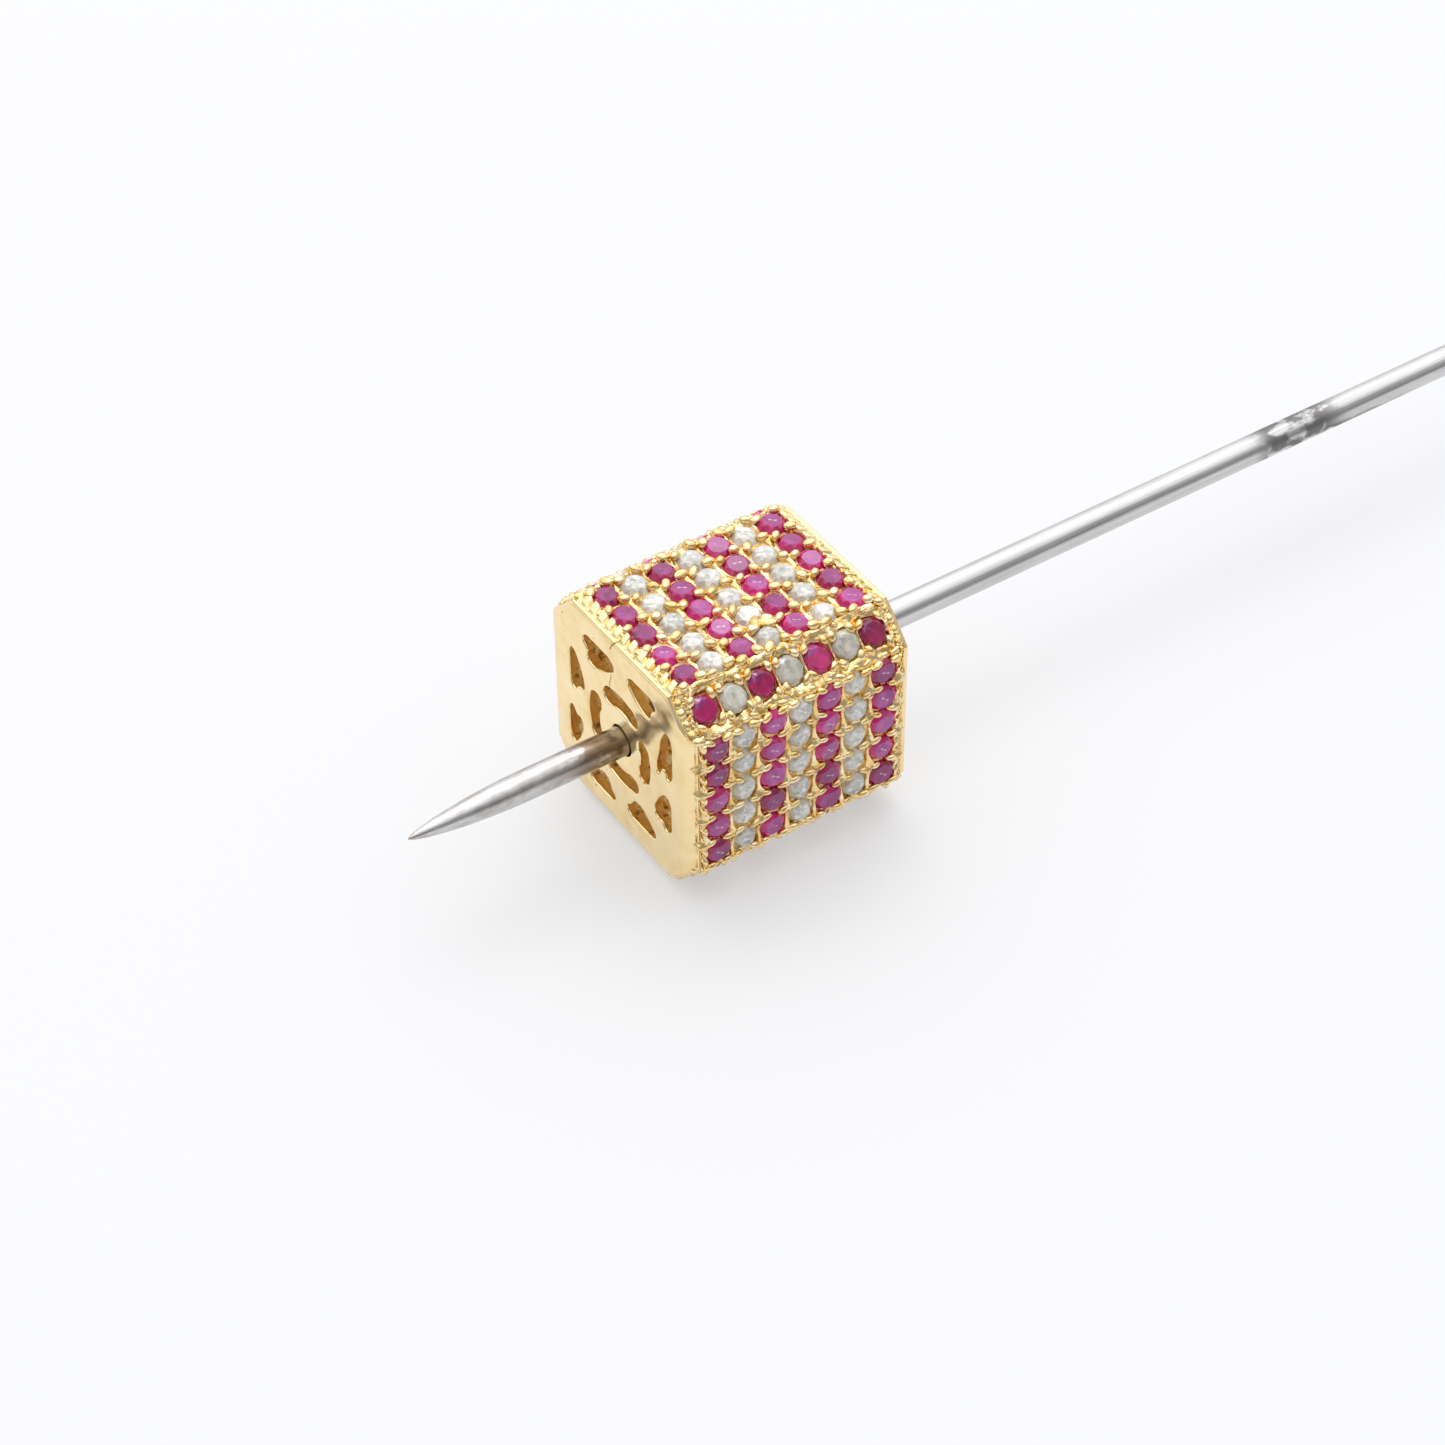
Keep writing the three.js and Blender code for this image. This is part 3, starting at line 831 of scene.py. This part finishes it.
def make_ribbed_band(end, name, node):
    """The slanting ribs between an end plate and the first line of grains. end is -1 or 1."""
    steps = len(BAND_SECTION)

    def place(a, b):
        index = round(b * steps) % steps
        x, level = BAND_SECTION[index]
        point, walked = cut_square_point(level, level + RIB_EDGE_RISE, a)
        lean = 0.5 if abs(point.y) > 4.5 else 0.35
        drift = 0.14 * noise.noise(Vector((walked * 0.7, 0, end * 4.0)))
        across_rib = (walked + (x - RIB_MIDDLE) * lean + drift) / RIB_PITCH
        beside = abs(across_rib % 1.0 - 0.5) * 2
        groove = clamped((beside - 0.5) / 0.4)
        reach = 0.0 if index in (0, steps - 1) else clamped((RIB_END - x) / 0.25)
        depth = (RIB_DEPTH * groove - 0.02 * (1 - beside)) * reach
        (y, z), _ = cut_square_point(level - depth, level - depth + RIB_EDGE_RISE, a)
        if end < 0:
            x -= filed_back(y) * clamped((x - RIB_MIDDLE) / 0.35)
        return Vector((end * x, y, z))

    bm = bmesh.new()
    sweep(bm, 1100, steps, place)
    make_piece(bm, name, POLISHED, [node], sharp_angle=50)


def flat_curve(name, outlines, thickness, bevel):
    """A flat plate between closed outlines, with rounded rims, drawn in X and Y."""
    curve = bpy.data.curves.new(name, "CURVE")
    curve.dimensions = "2D"
    curve.fill_mode = "BOTH"
    curve.extrude = thickness / 2 - bevel
    curve.bevel_depth = bevel
    curve.bevel_resolution = 3
    curve.offset = -bevel
    for points, straight in outlines:
        spline = curve.splines.new("BEZIER")
        spline.bezier_points.add(len(points) - 1)
        spline.use_cyclic_u = True
        spline.resolution_u = 1 if straight else 8
        for knot, (x, y) in zip(spline.bezier_points, points):
            knot.co = (x, y, 0)
            knot.handle_left_type = knot.handle_right_type = "VECTOR" if straight else "AUTO"
    holder = bpy.data.objects.new(name, curve)
    bpy.context.scene.collection.objects.link(holder)
    mesh = bpy.data.meshes.new_from_object(holder.evaluated_get(bpy.context.evaluated_depsgraph_get()))
    bpy.data.objects.remove(holder)
    bpy.data.curves.remove(curve)
    return mesh


def circle(radius, count):
    return [
        (radius * math.cos(2 * math.pi * i / count), radius * math.sin(2 * math.pi * i / count))
        for i in range(count)
    ]


def arch(width, half_angle, radius):
    """A slot bent round the hole, over its top."""
    ends = [math.pi / 2 + side * half_angle for side in (-1, 1)]
    half = width / 2
    points = []
    for k in range(5):
        angle = ends[0] + (ends[1] - ends[0]) * k / 4
        points.append(((radius + half) * math.cos(angle), (radius + half) * math.sin(angle)))
    points.append((radius * math.cos(ends[1] + half * 0.45), radius * math.sin(ends[1] + half * 0.45)))
    for k in range(5):
        angle = ends[1] + (ends[0] - ends[1]) * k / 4
        points.append(((radius - half) * math.cos(angle), (radius - half) * math.sin(angle)))
    points.append((radius * math.cos(ends[0] - half * 0.45), radius * math.sin(ends[0] - half * 0.45)))
    return points


def petal(centre, base, height, lean):
    """A three-cornered opening. Its base faces the rim, and its point leans to one side."""
    shape = (
        (-1.0, 0.45), (-0.78, 0.92), (-0.3, 1.0), (0.3, 1.0), (0.78, 0.92), (1.0, 0.45), (0.72, -0.15),
        (lean + 0.34, -0.82), (lean, -1.0), (lean - 0.34, -0.82), (-0.72, -0.15),
    )
    return [(centre[0] + x * base / 2, centre[1] + y * height / 2) for x, y in shape]


# Each side's arch and two petals, each sawn a little differently: (arch width, its half angle, its radius),
# then each petal's (place across, place out, base, height, lean).
FRONT_OPENINGS = (
    ((0.80, 0.47, 2.02), ((-1.58, 3.28, 2.3, 1.35, -0.35), (1.6, 3.42, 2.0, 1.2, 0.25))),
    ((0.74, 0.46, 1.76), ((-1.72, 3.18, 2.5, 1.15, 0.75), (1.55, 3.0, 1.95, 1.25, 0.3))),
    ((0.78, 0.44, 2.02), ((-1.35, 3.24, 2.15, 1.15, 0.1), (1.6, 3.5, 1.95, 1.1, -0.2))),
    ((0.80, 0.46, 2.04), ((-1.85, 3.5, 2.0, 1.05, 0.3), (1.35, 3.3, 2.2, 1.1, -0.3))),
)
BACK_OPENINGS = (
    ((0.76, 0.45, 2.04), ((-1.6, 3.36, 2.1, 1.2, 0.1), (1.55, 3.4, 2.2, 1.2, -0.2))),
    ((0.78, 0.44, 2.0), ((-1.55, 3.4, 2.2, 1.15, -0.1), (1.65, 3.36, 2.0, 1.2, 0.2))),
    ((0.74, 0.46, 2.06), ((-1.62, 3.42, 2.0, 1.15, 0.2), (1.58, 3.34, 2.2, 1.25, 0.0))),
    ((0.80, 0.43, 2.02), ((-1.5, 3.34, 2.2, 1.2, -0.2), (1.6, 3.42, 2.1, 1.15, 0.1))),
)


def pierced_outlines(openings):
    """The hole, four arches and eight petals."""
    outlines = [(circle(HOLE_RADIUS, 16), False)]
    for quarter, (slot, petals) in enumerate(openings):
        outlines.append((turned_points(arch(*slot), quarter), False))
        for across, out, base, height, lean in petals:
            outlines.append((turned_points(petal((across, out), base, height, lean), quarter), False))
    return outlines


def rim_outline():
    """The plate's own outline, a square with cut and rounded corners."""
    level, edge_level = PLATE_LEVEL, PLATE_EDGE_LEVEL
    corner = edge_level * math.sqrt(2) - level
    rounding = PLATE_ROUNDING
    across = rounding * math.sqrt(0.5)
    points = []
    for quarter in range(4):
        side = [
            (-corner - across, level - across), (-corner + rounding, level),
            (corner - rounding, level), (corner + across, level - across),
        ]
        points += turned_points(side, quarter)
    return points


def make_plate(end, name, node, openings):
    """A pierced end plate. end is -1 at the point's side and 1 at the head's."""
    outlines = [(rim_outline(), True), *pierced_outlines(openings)]
    mesh = flat_curve(name, outlines, PLATE_THICKNESS, PLATE_BEVEL)
    right = Vector((0, end, 0))
    up = Vector((0, 0, 1))
    out = Vector((end, 0, 0))
    matrix = Matrix((right, up, out)).transposed().to_4x4()
    matrix.translation = out * (HALF_LENGTH - PLATE_THICKNESS / 2)
    bm = bmesh.new()
    bm.from_mesh(mesh)
    bmesh.ops.remove_doubles(bm, verts=bm.verts, dist=1e-4)
    bmesh.ops.transform(bm, matrix=matrix, verts=bm.verts)
    if end < 0:
        for start, _, _ in FILED_FLATS:
            whole = bm.verts[:] + bm.edges[:] + bm.faces[:]
            bmesh.ops.bisect_plane(bm, geom=whole, plane_co=(0, -start, 0), plane_no=(0, -1, 0))
        for vert in bm.verts:
            if -vert.co.x > HALF_LENGTH - PLATE_THICKNESS / 2:
                vert.co.x += filed_back(vert.co.y)
    make_piece(bm, name, POLISHED, [node], sharp_angle=30)


# ---- Stem and sleeve ----


def make_stem():
    """The stem, turned about its axis: a long point, a straight shank and a flat-ended head."""
    low, high = Vector(stem_low) / MM, Vector(stem_high) / MM
    length = high.x - low.x
    foot = length - HEAD_CROWN - HEAD_RIM
    shank_end = foot - HEAD_NECK - 0.2
    neck_top = HEAD_RADIUS - 0.04
    profile = [(0.0, 0.0)]
    for step in range(1, 33):
        share = (step / 32) ** 2
        profile.append((POINT_LENGTH * share, STEM_RADIUS * math.sin(math.pi / 2 * share) ** 0.6))
    for step in range(1, 31):
        profile.append((POINT_LENGTH + (shank_end - POINT_LENGTH) * step / 30, STEM_RADIUS))
    for step in range(1, 9):
        share = step / 8
        profile.append((foot - HEAD_NECK * (1 - share), STEM_RADIUS + (neck_top - STEM_RADIUS) * share**2.2))
    profile += [(foot + 0.06, HEAD_RADIUS), (length - HEAD_CROWN, HEAD_RADIUS)]
    for step in range(1, 6):
        turn = math.pi / 2 * step / 5
        along = length - HEAD_CROWN * (1 - math.sin(turn))
        profile.append((along, HEAD_RADIUS - HEAD_CROWN * (1 - math.cos(turn))))
    profile.append((length, 0.0))
    bm = bmesh.new()
    verts = [bm.verts.new((x, 0, radius)) for x, radius in profile]
    edges = [bm.edges.new(pair) for pair in zip(verts, verts[1:])]
    bmesh.ops.spin(
        bm, geom=verts + edges, cent=(0, 0, 0), axis=(1, 0, 0), angle=2 * math.pi, steps=48, use_merge=True
    )
    bmesh.ops.remove_doubles(bm, verts=bm.verts, dist=1e-5)
    tip = Vector((stem_low[0], BEAD.y, BEAD.z))
    make_piece(bm, "steel_stem", STEEL, ["pin_stem"], body="pin", origin=tip, sharp_angle=40)


def make_sleeve_finish():
    """The sleeve keeps its own shape and gets its finish."""
    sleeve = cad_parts["friction_sleeve"]
    for material_slot in sleeve.material_slots:
        material_slot.material = SPRING.material


# ---- Room, light and camera ----


def make_table():
    """A pale table with a little light of its own."""
    bpy.ops.mesh.primitive_plane_add(size=6.0, location=(0, 0, -0.00002))
    table = bpy.context.object
    table.name = "table_top"
    paint = bpy.data.materials.new("pale_table")
    paint.use_nodes = True
    shader = paint.node_tree.nodes["Principled BSDF"]
    shader.inputs["Base Color"].default_value = (0.380, 0.382, 0.391, 1.0)
    shader.inputs["Roughness"].default_value = 0.6
    shader.inputs["Specular IOR Level"].default_value = 0.2
    shader.inputs["Emission Color"].default_value = (0.985, 0.99, 1.0, 1.0)
    shader.inputs["Emission Strength"].default_value = 0.46
    table.data.materials.append(paint)


def make_tent():
    """Soft white light from above and behind, darker towards the camera's side."""
    world = bpy.data.worlds.new("tent")
    bpy.context.scene.world = world
    world.use_nodes = True
    nodes, links = world.node_tree.nodes, world.node_tree.links
    background = nodes["Background"]
    place = nodes.new("ShaderNodeTexCoord")
    facing = nodes.new("ShaderNodeVectorMath")
    facing.operation = "DOT_PRODUCT"
    facing.inputs[1].default_value = Vector((0.15, 0.35, 0.92)).normalized()
    ramp = nodes.new("ShaderNodeValToRGB")
    stops = ((0.0, 0.32), (0.34, 0.48), (0.62, 1.2), (1.0, 1.7))
    while len(ramp.color_ramp.elements) < len(stops):
        ramp.color_ramp.elements.new(0.5)
    for element, (at, bright) in zip(ramp.color_ramp.elements, stops):
        element.position = at
        element.color = (bright, bright, bright * 1.01, 1.0)
    seen = nodes.new("ShaderNodeLightPath")
    mix = nodes.new("ShaderNodeMix")
    mix.data_type = "RGBA"
    mix.inputs[7].default_value = (0.97, 0.975, 0.99, 1.0)
    links.new(place.outputs["Generated"], facing.inputs[0])
    links.new(facing.outputs["Value"], ramp.inputs[0])
    links.new(seen.outputs["Is Camera Ray"], mix.inputs[0])
    links.new(ramp.outputs["Color"], mix.inputs[6])
    links.new(mix.outputs[2], background.inputs["Color"])
    background.inputs["Strength"].default_value = 1.0


def make_lamp(name, offset, size, power):
    """A soft square lamp that faces the bead. offset is in metres from it."""
    lamp = bpy.data.lights.new(name, "AREA")
    lamp.size = size
    lamp.energy = power
    holder = bpy.data.objects.new(name, lamp)
    holder.location = BEAD + Vector(offset)
    holder.rotation_euler = Vector(offset).to_track_quat("Z", "Y").to_euler()
    bpy.context.scene.collection.objects.link(holder)


def make_camera():
    """Looks down on the bead past the point, from a little over 150 mm."""
    azimuth, elevation, roll = math.radians(-33.607), math.radians(43.127), math.radians(-0.541)
    aside, lower, distance = -0.309, -1.322, 157.51
    level_share = math.cos(elevation)
    back = Vector((math.sin(azimuth) * level_share, -math.cos(azimuth) * level_share, math.sin(elevation)))
    right = Vector((0, 0, 1)).cross(back).normalized()
    up = back.cross(right)
    tilted_right = math.cos(roll) * right + math.sin(roll) * up
    tilted_up = math.cos(roll) * up - math.sin(roll) * right
    camera = bpy.data.cameras.new("camera")
    camera.sensor_width = 36.0
    camera.lens = 95.33
    camera.clip_start = 0.005
    holder = bpy.data.objects.new("camera", camera)
    matrix = Matrix((tilted_right, tilted_up, back)).transposed().to_4x4()
    matrix.translation = BEAD + (tilted_right * aside + tilted_up * lower + back * distance) * MM
    holder.matrix_world = matrix
    bpy.context.scene.collection.objects.link(holder)
    bpy.context.scene.camera = holder


make_camera()
make_table()
make_tent()
make_lamp("key", (0.12, 0.2, 0.6), 0.4, 0.9)
make_stem()
make_sleeve_finish()
make_shell()
make_ribbed_band(-1, "front_ribs", "bead_body")
make_ribbed_band(1, "back_ribs", "bead_body")
make_plate(-1, "pierced_front", "front_plate", FRONT_OPENINGS)
make_plate(1, "pierced_back", "bead_body", BACK_OPENINGS)
make_face_gold()
make_edge_gold()
make_stones()

view = bpy.context.scene.view_settings
view.view_transform = "Standard"
view.look = "None"
